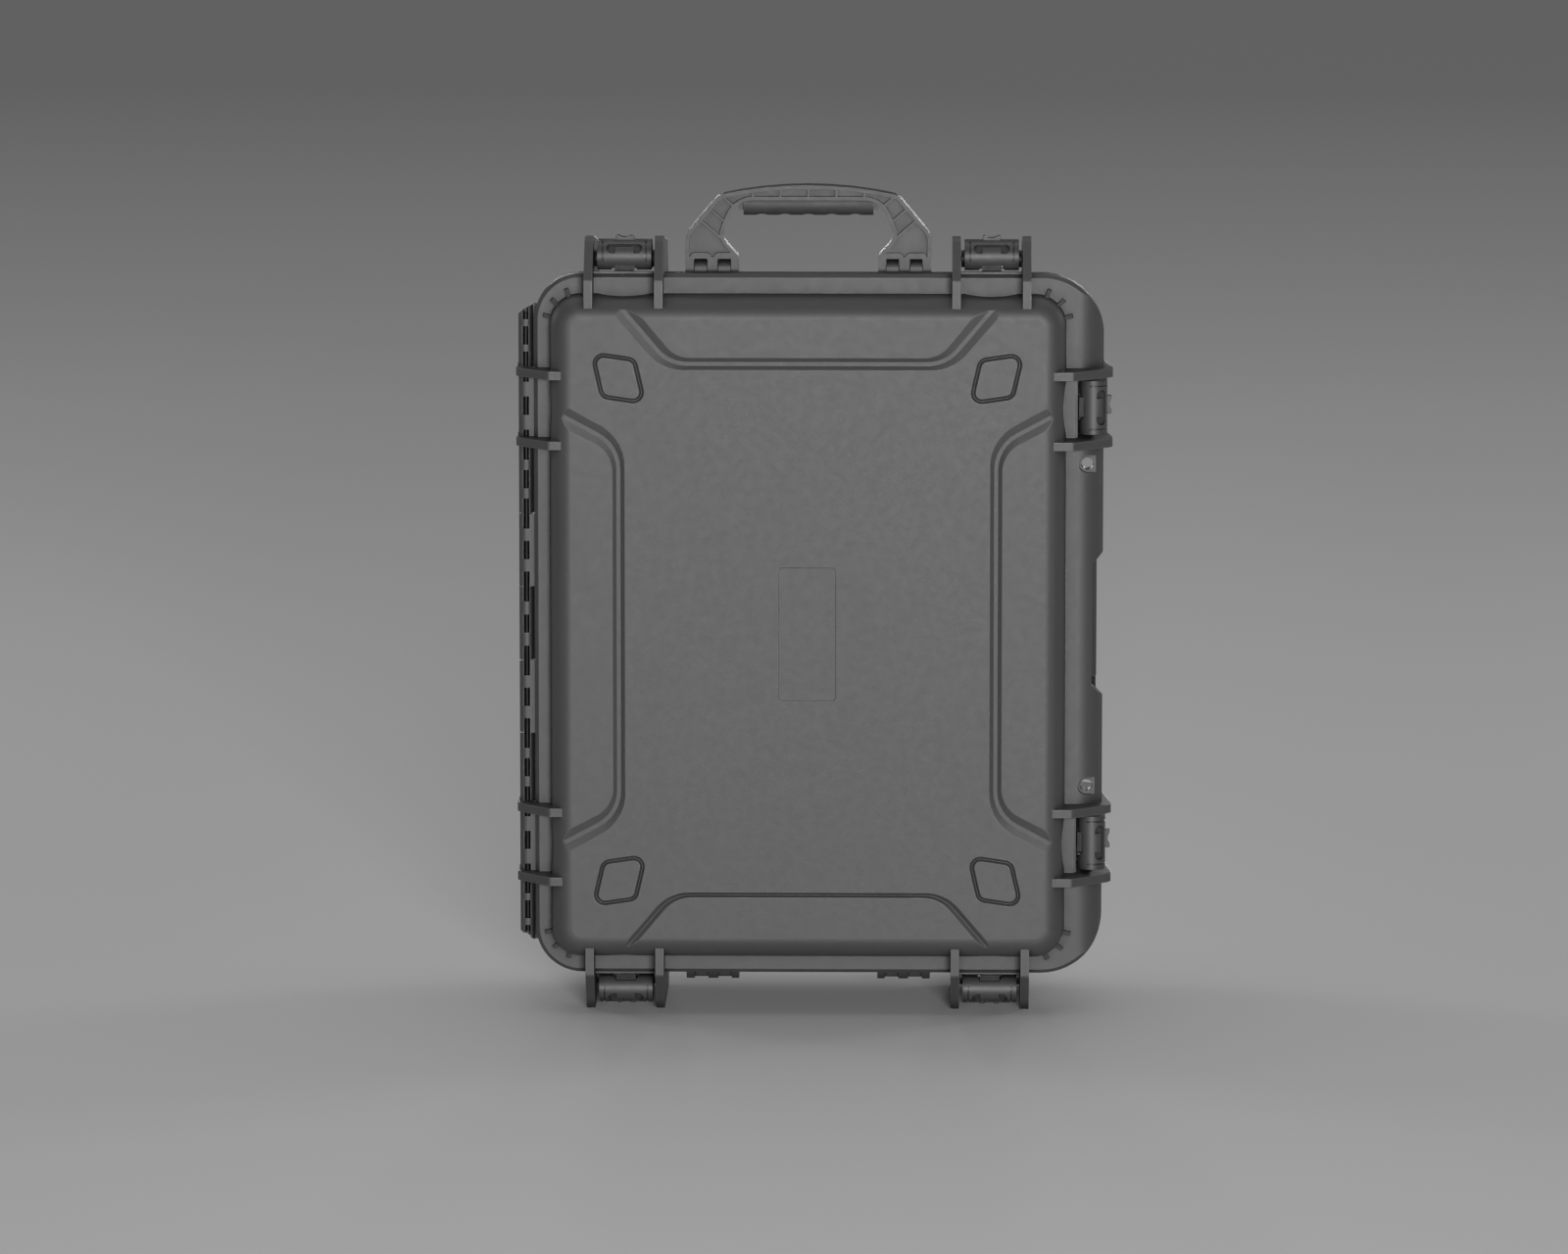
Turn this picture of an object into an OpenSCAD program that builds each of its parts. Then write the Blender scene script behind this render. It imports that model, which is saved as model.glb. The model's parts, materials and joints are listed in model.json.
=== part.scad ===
// Rugged equipment case, standing on its short side with the lid towards -Y.
// The hinge is on the -X side, the front with its grip notch on the +X side.
// The shells are drawn about the lid's centre and moved to the frame at the end of this file.

/* [Shells] */
// Width of the lid body from the hinge side to the front
lid_w = 421; // [390:1:460]
// Height of the lid body
lid_h = 545; // [520:1:600]
// Depth of the lid in front of the parting plane
lid_d = 45; // [42:1:60]
// Depth of the base behind the parting plane
base_d = 165; // [140:1:220]
// Step from the sides of the lid body in to the sides of the base body
base_step = 4.5; // [3:0.5:6]
// Corner radius of both bodies, seen from the front
shell_r = 26; // [22:1:34]
// Radius of the shoulder round the front of the lid
shoulder_r = 17; // [10:1:20]
// Radius round the back of the base
back_r = 14; // [8:1:18]
// Thickness of the side walls
wall = 5; // [4:0.5:6]
// Thickness of the lid's face and of the base's back
face_t = 4.5; // [4:0.5:6]
// How far the lid's sides lean in from flange to face
lid_draft = 2; // [1:0.5:3]
// How far the base's sides lean in from flange to back
base_draft = 4; // [2:0.5:6]

/* [Flanges] */
// Thickness of the lid's flange
lid_flange_t = 12; // [10:0.5:14]
// Thickness of the base's flange
base_flange_t = 10; // [8:0.5:12]
// Reach of the flange beyond the lid body on the hinge side
flange_hinge = 12; // [11:0.5:14]
// Reach of the flange beyond the lid body at the top and bottom ends
flange_end = 15; // [12:0.5:18]
// Reach of the hood beyond the lid body on the front side
hood_reach = 30; // [28:0.5:36]
// Corner radius of the flange on the hinge side
flange_r = 38; // [34:1:42]
// Corner radius of the flange on the front side
hood_r = 50; // [44:1:56]
// Radius of the roll along the hood's edge
roll_r = 22; // [18:1:24]
// Chamfer round the flange's front edge
flange_chamfer = 3; // [1:0.5:4]
// Length of the hand notch in the hood, at its bottom
notch_len = 100; // [90:1:110]
// Depth of the hand notch, and of its chamfered ends
notch_d = 9; // [6:0.5:12]

/* [Seal] */
// Width of the groove that holds the seal
groove_w = 6; // [5:0.5:7]
// Depth of the groove in the lid's flange
groove_d = 6; // [5:0.5:7]
// Thickness of the seal
seal_t = 3; // [2:0.5:4]
// Width of the base's sealing tongue
tongue_w = 3; // [2:0.5:4]
// Distance of the seal's centre line beyond the lid body
seal_out = 1.5; // [1:0.5:3]
// Gap between the tongue and the seal
seal_gap = 0.3; // [0.2:0.1:0.5]

/* [Guard ribs] */
// Thickness of a guard rib
rib_t = 7; // [6:0.5:8]
// Clear space between the two ribs beside a latch
rib_space = 50; // [48:1:54]
// Reach of the ribs beyond the flange edge
rib_reach = 30; // [28:0.5:34]
// Height of a rib's front facet above the parting plane
rib_front = 43; // [36:1:44]
// Drop of the sloped facet, and its length across
rib_slope = 27; // [22:1:28]
// Length of the base's guard ribs behind the parting plane
rib_back = 100; // [80:1:120]
// Drop of the end and front ribs over that length; the bottom ribs stay level to stand on
rib_taper = 13; // [8:1:18]
// Length over which a base rib runs down to the wall
rib_run_out = 35; // [20:1:40]
// Reach of the hinge side ribs beyond the flange edge
hinge_rib_reach = 14.7; // [13:0.1:16]

/* [Latches] */
// Distance of the end latches from the lid's centre line
latch_x = 149; // [140:1:160]
// Distance of the front latches from the middle
latch_z = 179; // [175:1:190]
// How far the front latches' plane lies beyond the lid body
latch_seat = 7.1; // [6:0.1:9]
// Width of a latch lever
lever_w = 44; // [40:1:46]
// Radius of the lever's nose
nose_r = 11.5; // [10:0.25:12]
// Clear height under the lever, above the flange edge
lever_lift = 2.6; // [2.4:0.2:4]
// Distance of the lever's pin behind the parting plane
lever_pin_y = 26; // [24:0.5:30]
// Distance of the lever's pin beyond the flange edge
lever_pin_z = 9; // [8:0.5:11]
// Radius of the latch pins and the handle pins
pin_r = 2.5; // [2:0.25:3]
// Radial clearance of a pin in its hole
pin_gap = 0.05; // [0.03:0.01:0.1]
// Width of the latch claw
claw_w = 16; // [10:1:17]
// Radius of the claw's pin
claw_pin_r = 1.5; // [1:0.25:2]
// Width of the release button
button_w = 14.8; // [12:0.2:16]
// Height of the button above the lever
button_h = 3.8; // [2:0.2:4]
// Travel of the button
button_travel = 2.2; // [1.6:0.1:2.4]

/* [Handles] */
// Overall width of a handle
handle_w = 200; // [180:1:210]
// Height of a handle above its pins
handle_h = 68.5; // [66:0.5:78]
// Thickness of a handle
handle_t = 18; // [16:0.5:19]
// Width of a handle's leg
leg_w = 43.2; // [40:0.2:46]
// Distance of the handle pins beyond the base's wall
handle_pin_out = 21; // [18:0.5:22]
// Distance of the handle pins behind the base's flange
handle_pin_back = 12; // [11:0.5:18]
// Width of a slot between the leg's fingers
slot_w = 11.2; // [10:0.2:12]
// Radius of the base's lugs
lug_r = 7.5; // [7:0.25:8.5]
// Clearance on each side of a lug
lug_gap = 0.4; // [0.3:0.1:0.6]
// Radius of the grip
grip_r = 9.5; // [8.5:0.25:10.5]

/* [Hinge] */
// Length of the hinge
hinge_len = 524; // [500:1:526]
// Radius of the hinge barrel
barrel_r = 6; // [5.5:0.25:6.5]
// Distance of the hinge pin beyond the flange edge
hinge_out = 7.1; // [7:0.1:8]
// Radius of the hinge pin
hinge_pin_r = 2; // [1.5:0.25:2.25]
// Length of the base's middle knuckle
middle_knuckle = 61; // [50:1:80]
// Length of the lid's knuckles on both sides of it
next_knuckle = 60; // [50:1:70]
// Gap between neighbouring knuckles
knuckle_gap = 0.6; // [0.4:0.1:1]

/* [Openings and fittings] */
// Diameter of the padlock holes
padlock_d = 10; // [8:0.5:12]
// Distance of the padlock holes from the middle
padlock_z = 132.5; // [122:0.5:136]
// Distance of the padlock holes in from the hood's edge
padlock_in = 13.2; // [11:0.2:15]
// Distance of the pressure valve from the middle
valve_z = 122; // [116:1:126]
// Distance of the pressure valve behind the parting plane
valve_y = 70; // [50:1:90]
// Radius of the pressure valve's flange
valve_r = 12; // [10:0.5:14]

/* [Face pattern] */
// Depth of the channels in the lid's face
channel_d = 2; // [1:0.25:2.5]
// Width of a double channel at the face
channel_w = 10; // [8:0.5:12]
// Width of the single channels and of the four rings
ring_w = 4; // [3:0.5:5]
// Radius of the channels' bends
channel_r = 32; // [24:1:40]

/* [Hidden] */
SIDES = ["top_left", "top_right", "front_upper", "front_lower", "bottom_right", "bottom_left"];
HANDLES = ["top", "front", "bottom"];
$fn = 64;

shell_colour = [0.29, 0.29, 0.30];
lever_colour = [0.33, 0.33, 0.34];
steel_colour = [0.70, 0.70, 0.72];
rubber_colour = [0.12, 0.12, 0.13];

// Over-cut that keeps cutting faces off the faces they cut
cut = 1;
// Gap left between parts that move past each other
air = 0.3;

// Edges of the flange, seen from the front
flange_left = -lid_w / 2 - flange_hinge;
flange_right = lid_w / 2 + hood_reach;
flange_top = lid_h / 2 + flange_end;
flange_box = [flange_left, flange_right, -flange_top, flange_top];
flange_band = flange_r - 1;

// Base body, and the cavities of both shells
base_w = lid_w - 2 * base_step;
base_h = lid_h - 2 * base_step;
roll_y = roll_r - lid_flange_t;

// Ribs and latches: a side's edge plane, and where its ribs stand
rib_offset = (rib_space + rib_t) / 2;
front_seat = lid_w / 2 + latch_seat;
rib_inner = 25;
rib_tip = 3;
hinge_rib_start = 22;

// Lever section: the nose's centre and the lever's top
nose_y = -3.5;
nose_z = lever_lift + nose_r;
lever_top = lever_lift + 2 * nose_r;
lever_wall = 3.3;
lever_end_r = 8;
pocket_back = 18.5;
pocket_half = 16;
claw_y = 7;
claw_z = 8;
claw_tail = [17, 14.3];
hook_y = -8;
button_y = 14;
button_len = 8;

// Distances of the channels from the lid's middle, half their lengths before the bends,
// how far they run on after them, and where they end inside the lid's edges
channel_x = 153;
channel_y = 217.7;
side_half = 151;
side_run = 24;
top_half = 112;
bottom_half = 110;
end_run = 41;
side_end = 12.5;
top_end = 6.5;
bend_spread = 1.9;

// Bare place for a label
label_w = 46.4;
label_h = 109;
label_drop = 3;
label_d = 0.4;

// Gussets round the lid's corners
gusset_w = 3.4;
gusset_side = [[-4, -1], [5.5, -1], [5, 4], [-1, 7], [-4, 7]];

// Middles of the four rings, and the corners of a ring's centre line
ring_x = 153;
ring_y = 206;
ring_corners = [[-21, 20, 7], [-13, -15, 7], [21, -20, 7], [13, 15, 7]];

// Handles
handle_y = base_flange_t + handle_pin_back;
finger_r = handle_t / 2;
rim = 3.2;
pocket_d = 5;
slot_top = lug_r + 0.9;
leg_first = 6.7;
leg_second = 25.9;
leg_h = 28;
shoulder_in = 27;
crown_rise = 8;
beam_z = handle_h - 12.5;
bar_t = 8;
web_w = 1.8;
web_step = 22.7;
slanted_webs = [[81, -34.5, 41], [76.5, -22.5, 40], [65, -13.5, 43]];

// Hinge
hinge_x = flange_left - hinge_out;
knuckle_ends = [middle_knuckle / 2, middle_knuckle / 2 + next_knuckle,
                latch_z - rib_offset - rib_t / 2, latch_z + rib_offset + rib_t / 2, hinge_len / 2];

// Frame: the middle of the standing case's box on the floor
reach_left = -flange_left + hinge_rib_reach;
reach_right = front_seat + rib_reach;
foot_h = 3;
frame_x = (reach_left - reach_right) / 2;
frame_y = (lid_d - base_d - foot_h) / 2;
frame_z = flange_top + rib_reach;

// Geometry helpers

function unit(v) = v / norm(v);
function flat(p) = [p.x, p.y];
function left_of(v) = [-v.y, v.x];

// Points of a rounded corner at b, between a and c, with radius r
function corner_points(a, b, c, r, steps) =
    let (u = unit(flat(a) - flat(b)),
         v = unit(flat(c) - flat(b)),
         half = acos(max(-1, min(1, u * v))) / 2,
         centre = flat(b) + unit(u + v) * r / sin(half),
         p = flat(b) + u * r / tan(half) - centre,
         q = flat(b) + v * r / tan(half) - centre,
         start = atan2(p.y, p.x),
         sweep = atan2(p.x * q.y - p.y * q.x, p * q))
    [for (i = [0 : steps]) centre + r * [cos(start + sweep * i / steps), sin(start + sweep * i / steps)]];

// Outline through [x, y, radius] corners, with round corners
function soft_outline(pts, steps = 5) =
    let (n = len(pts))
    [for (i = [0 : n - 1])
        let (b = pts[i])
        each (b[2] > 0 ? corner_points(pts[(i + n - 1) % n], b, pts[(i + 1) % n], b[2], steps) : [flat(b)])];

// The same corners moved in by d, for an anticlockwise outline
function inset(pts, d) =
    let (n = len(pts))
    [for (i = [0 : n - 1])
        let (b = flat(pts[i]),
             u = left_of(unit(b - flat(pts[(i + n - 1) % n]))),
             v = left_of(unit(flat(pts[(i + 1) % n]) - b)),
             turns = cross(u, v) > 0 ? -1 : 1,
             p = b + d * (u + v) / (1 + u * v))
        [p.x, p.y, max(pts[i][2] + turns * d, 0.8)]];

// Turns plan drawings (x across, y up, z out of the parting plane) to the lid's side
module lid_side() {
    rotate([90, 0, 0]) children();
}

// The same for the base's side, with z running back
module base_side() {
    mirror([0, 1, 0]) rotate([90, 0, 0]) children();
}

// Extrudes a section drawn as (y, z) along x, centred
module along_x(length) {
    translate([-length / 2, 0, 0]) rotate([90, 0, 90]) linear_extrude(length) children();
}

// Extrudes a section drawn as (x, z) along y, centred
module along_y(length) {
    translate([0, length / 2, 0]) rotate([90, 0, 0]) linear_extrude(length) children();
}

// Sweeps a section drawn as (outward, height) round a rectangle with rounded corners
module sweep_frame(box, left_r, right_r) {
    x0 = box[0];
    x1 = box[1];
    y0 = box[2];
    y1 = box[3];
    translate([x1, y1 - right_r, 0])
        rotate([90, 0, 0]) linear_extrude(y1 - y0 - 2 * right_r) children();
    translate([x0 + left_r, y1, 0])
        rotate([90, 0, 90]) linear_extrude(x1 - x0 - left_r - right_r) children();
    translate([x0, y0 + left_r, 0])
        rotate([90, 0, 180]) linear_extrude(y1 - y0 - 2 * left_r) children();
    translate([x1 - right_r, y0, 0])
        rotate([90, 0, 270]) linear_extrude(x1 - x0 - left_r - right_r) children();
    translate([x1 - right_r, y1 - right_r, 0])
        rotate_extrude(angle = 90) translate([right_r, 0]) children();
    translate([x0 + left_r, y1 - left_r, 0]) rotate([0, 0, 90])
        rotate_extrude(angle = 90) translate([left_r, 0]) children();
    translate([x0 + left_r, y0 + left_r, 0]) rotate([0, 0, 180])
        rotate_extrude(angle = 90) translate([left_r, 0]) children();
    translate([x1 - right_r, y0 + right_r, 0]) rotate([0, 0, 270])
        rotate_extrude(angle = 90) translate([right_r, 0]) children();
}

// Section of a pan's side: leaning wall, then a rounded edge
module pan_section(r, depth, edge_r, lean) {
    difference() {
        polygon([[-r, 0], [0, 0], [-lean, depth - edge_r], [-lean, depth], [-r, depth]]);
        translate([-lean - edge_r, depth - edge_r]) difference() {
            square(edge_r + cut);
            circle(edge_r);
        }
    }
}

// Solid pan with rounded corners and a rounded far edge
module pan(w, h, r, depth, edge_r, lean) {
    sweep_frame([-w / 2, w / 2, -h / 2, h / 2], r, r) pan_section(r, depth, edge_r, lean);
    translate([r - w / 2, r - h / 2, 0]) cube([w - 2 * r, h - 2 * r, depth]);
}

// Cavity of a pan: a straight mouth, then the pan drawn in by the wall
module cavity(w, h, r, depth, edge_r, lean) {
    translate([0, 0, -cut]) linear_extrude(2 * cut) round_box(w, h, r);
    pan(w, h, r, depth, edge_r, lean);
}

module round_box(w, h, r) {
    square([w - 2 * r, h], center = true);
    square([w, h - 2 * r], center = true);
    for (i = [-1, 1], j = [-1, 1])
        translate([i * (w / 2 - r), j * (h / 2 - r)]) circle(r);
}

// Straight runs through the given corners, with each bend rounded to radius r
function smooth_path(pts, r, steps, closed) =
    let (n = len(pts))
    [for (i = [0 : n - 1])
        each ((!closed && (i == 0 || i == n - 1))
            ? [pts[i]]
            : corner_points(pts[(i + n - 1) % n], pts[i], pts[(i + 1) % n], r, steps))];

// Sideways offset at a point of a path, longer in a bend so that the walls stay parallel
function path_side(path, i, closed) =
    let (n = len(path),
         a = (closed || i > 0) ? unit(path[i] - path[(i + n - 1) % n]) : unit(path[1] - path[0]),
         b = (closed || i < n - 1) ? unit(path[(i + 1) % n] - path[i]) : a,
         middle = unit(a + b))
    left_of(middle) / (middle * a);

// Channel with sloping walls, cut down from z = 0 along a path.
// An open channel's walls slope more gently towards its ends, by the factor spread.
module channel(pts, r, width, floor_w, depth, closed = false, spread = 1) {
    steps = 6;
    path = smooth_path(pts, r, steps, closed);
    n = len(path);
    function ease(i) = closed ? 0 : 1 - min(i, n - 1 - i, steps + 1) / (steps + 1);
    function wall_w(i) = (width - floor_w) / 2 * (1 + (spread - 1) * ease(i));
    rings = [for (i = [0 : n - 1])
        let (side = path_side(path, i, closed),
             lip = floor_w / 2 + wall_w(i) * (1 + cut / depth))
        each [for (p = [[lip, cut], [-lip, cut], [-floor_w / 2, -depth], [floor_w / 2, -depth]])
            [path[i].x + side.x * p[0], path[i].y + side.y * p[0], p[1]]]];
    walls = [for (i = [0 : closed ? n - 1 : n - 2], k = [0 : 3])
        let (a = 4 * i, b = 4 * ((i + 1) % n), next = (k + 1) % 4)
        each [[a + k, b + k, b + next], [a + k, b + next, a + next]]];
    ends = closed ? [] : [[0, 1, 2], [0, 2, 3],
                          [4 * n - 2, 4 * n - 3, 4 * n - 4], [4 * n - 1, 4 * n - 2, 4 * n - 4]];
    polyhedron(rings, concat(walls, ends));
}

// Places children at each latch: x along the edge, y back, z out from the edge plane
module at_latch(i) {
    turn = [0, 0, 90, 90, 180, 180][i];
    shift = [-latch_x, latch_x, -latch_z, latch_z, -latch_x, latch_x][i];
    edge = (turn == 90) ? front_seat : flange_top;
    rotate([0, turn, 0]) translate([shift, 0, edge]) children();
}

module at_all_latches() {
    for (i = [0 : len(SIDES) - 1]) at_latch(i) children();
}

// Places children at each hinge side rib, z out from the flange edge
module at_hinge_ribs() {
    for (s = [-1, 1], r = [-1, 1])
        rotate([0, -90, 0]) translate([s * latch_z + r * rib_offset, 0, -flange_left]) children();
}

// Shells

// Front edge of the hood rolls back round a cylinder along the flange edge
module roll_cut() {
    x = flange_right - roll_r;
    difference() {
        translate([x, -lid_flange_t - cut, -flange_top - cut])
            cube([roll_r + cut, roll_r + cut, 2 * (flange_top + cut)]);
        translate([x, roll_y, -flange_top - 2 * cut])
            cylinder(r = roll_r, h = 2 * (flange_top + 2 * cut));
    }
}

// Hand notch in the middle of the hood
module notch_cut() {
    x0 = flange_right - notch_d;
    half = notch_len / 2;
    translate([0, -lid_flange_t - cut, 0]) rotate([-90, 0, 0])
        linear_extrude(lid_flange_t + base_flange_t + 2 * cut)
            polygon([[x0, -half], [x0, half],
                     [flange_right + cut, half + notch_d + cut],
                     [flange_right + cut, -half - notch_d - cut]]);
}

// Padlock holes, with the flat spot face that they open into
module padlock_cut() {
    x = flange_right - padlock_in;
    spot_r = padlock_d / 2 + 2;
    spot_y = -5.5;
    for (s = [-1, 1]) translate([x, 0, s * padlock_z]) {
        rotate([90, 0, 0])
            cylinder(d = padlock_d, h = 2 * (lid_flange_t + cut), center = true);
        translate([0, spot_y, 0]) rotate([90, 0, 0]) {
            cylinder(r = spot_r, h = lid_flange_t);
            translate([0, -spot_r, 0]) cube([padlock_in + cut, 2 * spot_r, lid_flange_t]);
        }
    }
}

// Room between the ribs at each latch
module latch_room() {
    at_all_latches() translate([-rib_space / 2, -lid_d, 0])
        cube([rib_space, lid_d + base_flange_t + cut, rib_reach]);
}

// Outline of a rib over the lid: front facet, sloped facet and tip
module lid_rib(reach, facet_end, drop) {
    along_x(rib_t) polygon(soft_outline([
        [0, -rib_inner, 0],
        [-rib_front, -rib_inner, 0],
        [-rib_front, facet_end, 4],
        [-rib_front + drop, reach - rib_tip, 3],
        [-rib_front + drop + 2 * rib_tip, reach, 3],
        [0, reach, 0]]));
}

// Outline of a guard rib on the base, from its reach at the front to its tail and run-out
module base_rib(front, back, reach, tail, root) {
    along_x(rib_t) polygon(soft_outline([
        [front, root, 0],
        [back + rib_run_out, root, 0],
        [back, tail, 6],
        [front, reach, 0]]));
}

// Knuckle from z0 to z1, open at the front in three slots, with its web on one side
module knuckle(z0, z1, side) {
    length = z1 - z0 - knuckle_gap;
    end_slot = 12;
    middle_slot = 15;
    translate([hinge_x, 0, z0 + knuckle_gap / 2]) difference() {
        union() {
            cylinder(r = barrel_r, h = length);
            translate([0, side < 0 ? -barrel_r : 0, 0]) cube([hinge_out + 2, barrel_r, length]);
        }
        for (slot = [[-cut, end_slot + cut], [(length - middle_slot) / 2, middle_slot],
                     [length - end_slot, end_slot + cut]])
            translate([-pin_r, -barrel_r - cut, slot[0]])
                cube([2 * pin_r, barrel_r + cut, slot[1]]);
    }
}

// The base's knuckles, in the middle, between the ribs and at the ends
module base_knuckles() {
    knuckle(-knuckle_ends[0], knuckle_ends[0], 1);
    for (k = [1, 3], s = [-1, 1])
        mirror([0, 0, s < 0 ? 1 : 0]) knuckle(knuckle_ends[k], knuckle_ends[k + 1], 1);
}

// The lid's knuckles, between those of the base
module lid_knuckles() {
    for (k = [0, 2], s = [-1, 1])
        mirror([0, 0, s < 0 ? 1 : 0]) knuckle(knuckle_ends[k], knuckle_ends[k + 1], -1);
}

// Bore of the hinge pin
module hinge_cut() {
    translate([hinge_x, 0, -hinge_len / 2 - cut])
        cylinder(r = hinge_pin_r + pin_gap, h = hinge_len + 2 * cut);
}

// Slanted ends of the hinge barrel
module barrel_end_cut() {
    slant = 8.5;
    for (s = [-1, 1]) mirror([0, 0, s < 0 ? 1 : 0])
        translate([hinge_x, -barrel_r - cut, hinge_len / 2]) rotate([-90, 0, 0])
            linear_extrude(2 * (barrel_r + cut))
                polygon([[-barrel_r - cut, -cut], [hinge_out, -cut], [-barrel_r - cut, slant]]);
}

// Small gussets that brace the flange round each corner of the lid
module corner_gussets() {
    for (i = [-1, 1], j = [-1, 1])
        mirror([i < 0 ? 1 : 0, 0, 0]) mirror([0, j < 0 ? 1 : 0, 0])
            translate([lid_w / 2 - shell_r, lid_h / 2 - shell_r, 0])
                for (a = [14, 41, 68]) rotate([0, 0, a])
                    translate([shell_r, 0, lid_flange_t]) along_y(gusset_w) polygon(gusset_side);
}

// Channels and rings pressed into the lid's face
module face_pattern() {
    floor_w = channel_w * 0.32;
    ring_floor = ring_w / 8;
    ring_d = ring_w * 0.45;
    far_x = lid_w / 2 - side_end;
    far_y = lid_h / 2 - top_end;
    function end_channel(half, s) =
        [[-half - end_run, s * far_y], [-half, s * channel_y], [half, s * channel_y],
         [half + end_run, s * far_y]];
    translate([0, 0, lid_d]) {
        // Double channel across the top
        channel(end_channel(top_half, 1), channel_r, channel_w, floor_w, channel_d,
                spread = bend_spread);
        // Double channels up the hinge side and the front side
        for (s = [-1, 1])
            channel([[s * far_x, -side_half - side_run], [s * channel_x, -side_half],
                     [s * channel_x, side_half], [s * far_x, side_half + side_run]],
                    channel_r, channel_w, floor_w, channel_d, spread = bend_spread);
        // Single channel across the bottom
        channel(end_channel(bottom_half, -1), channel_r, ring_w, ring_floor, ring_d,
                spread = bend_spread);
        // Four rings in the corners
        for (i = [-1, 1], j = [-1, 1])
            mirror([i > 0 ? 1 : 0, 0, 0]) mirror([0, j < 0 ? 1 : 0, 0]) translate([-ring_x, ring_y, 0])
                channel([for (p = ring_corners) flat(p)], ring_corners[0][2], ring_w, ring_floor,
                        ring_d, closed = true);
        // Bare place for a label
        translate([0, -label_drop, -label_d]) linear_extrude(cut) round_box(label_w, label_h, 3);
    }
}

// Shallow wave that the lid's wall draws in between a pair of ribs
module wall_wave() {
    wave = 3.4;
    half = rib_space / 2;
    wave_r = (half * half + wave * wave) / (2 * wave);
    for (p = [[0, lid_h / 2, latch_x], [90, lid_w / 2, latch_z],
              [180, lid_h / 2, latch_x], [270, lid_w / 2, latch_z]], s = [-1, 1])
        rotate([0, p[0], 0]) translate([s * p[2], -lid_flange_t, p[1] - wave + wave_r])
            rotate([90, 0, 0]) cylinder(r = wave_r, h = lid_d);
}

module lid_flange() {
    sweep_frame(flange_box, flange_r, hood_r) polygon([
        [-flange_band, 0], [0, 0], [0, lid_flange_t - flange_chamfer],
        [-flange_chamfer, lid_flange_t], [-flange_band, lid_flange_t]]);
}

module lid_body() {
    lid_side() pan(lid_w, lid_h, shell_r, lid_d, shoulder_r, lid_draft);
}

module lid_shell() {
    color(shell_colour) difference() {
        union() {
            difference() {
                lid_body();
                wall_wave();
            }
            difference() {
                lid_side() lid_flange();
                roll_cut();
                notch_cut();
                padlock_cut();
                latch_room();
            }
            lid_side() corner_gussets();
            at_all_latches() {
                for (s = [-1, 1]) translate([s * rib_offset, 0, 0])
                    lid_rib(rib_reach, -2, rib_slope);
                // Catch strip that the claw holds down
                translate([-rib_space / 2, -9, -flange_chamfer])
                    cube([rib_space, 4, flange_chamfer + lever_lift - 1]);
            }
            at_hinge_ribs() lid_rib(hinge_rib_reach, -flange_hinge, rib_slope);
            lid_knuckles();
        }
        lid_side() cavity(lid_w - 2 * wall, lid_h - 2 * wall, shell_r - wall,
                          lid_d - face_t, shoulder_r - wall, lid_draft);
        lid_side() face_pattern();
        lid_side() translate([0, 0, -cut]) seal_ring(groove_w, groove_d + cut);
        hinge_cut();
    }
}

// Ring along the seal's centre line
module seal_ring(w, h) {
    half_x = lid_w / 2 + seal_out;
    half_y = lid_h / 2 + seal_out;
    sweep_frame([-half_x, half_x, -half_y, half_y], shell_r + seal_out, shell_r + seal_out)
        translate([-w / 2, 0]) square([w, h]);
}

module lid_seal() {
    tongue_h = groove_d - seal_t - seal_gap;
    color(rubber_colour) lid_side() translate([0, 0, tongue_h + seal_gap])
        seal_ring(groove_w, seal_t);
}

module base_body() {
    base_side() pan(base_w, base_h, shell_r, base_d, back_r, base_draft);
}

module base_flange() {
    sweep_frame(flange_box, flange_r, hood_r) polygon([
        [-flange_band, 0], [0, 0], [0, base_flange_t - 1.5],
        [-1.5, base_flange_t], [-flange_band, base_flange_t]]);
}

// Places children at a handle's pins: x along the edge, y back, z out
module at_handle(i, folded = false) {
    turn = [0, 90, 180][i];
    edge = (turn == 90 ? base_w : base_h) / 2 + handle_pin_out;
    rotate([0, turn, 0]) translate([0, handle_y, edge])
        rotate([folded && i > 0 ? -90 : 0, 0, 0]) children();
}

// Lugs on the base that carry a handle's pins
module handle_lugs() {
    lug_w = slot_w - 2 * lug_gap;
    for (s = [-1, 1], x = [leg_first, leg_second])
        translate([s * (handle_w / 2 - x - slot_w / 2), 0, 0]) difference() {
            union() {
                along_x(lug_w) circle(lug_r);
                along_x(lug_w) polygon([
                    [-lug_r, 0], [lug_r, 0], [lug_r, -finger_r - 1],
                    [lug_r + 6, -handle_pin_out - wall], [-lug_r, -handle_pin_out - wall]]);
            }
            along_x(lug_w + cut) circle(pin_r + pin_gap);
        }
}

// Flat boss on the front wall that the pressure valve is screwed through
module at_valve() {
    translate([base_w / 2, valve_y, valve_z]) rotate([0, 90, 0]) children();
}

// Feet on the back that stand in the rings of the case behind
module stacking_feet() {
    for (i = [-1, 1], j = [-1, 1])
        mirror([i > 0 ? 1 : 0, 0, 0]) mirror([0, j < 0 ? 1 : 0, 0])
            translate([-ring_x, ring_y, base_d - cut]) linear_extrude(foot_h + cut)
                polygon(soft_outline(inset(ring_corners, ring_w / 2 + 1)));
}

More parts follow.
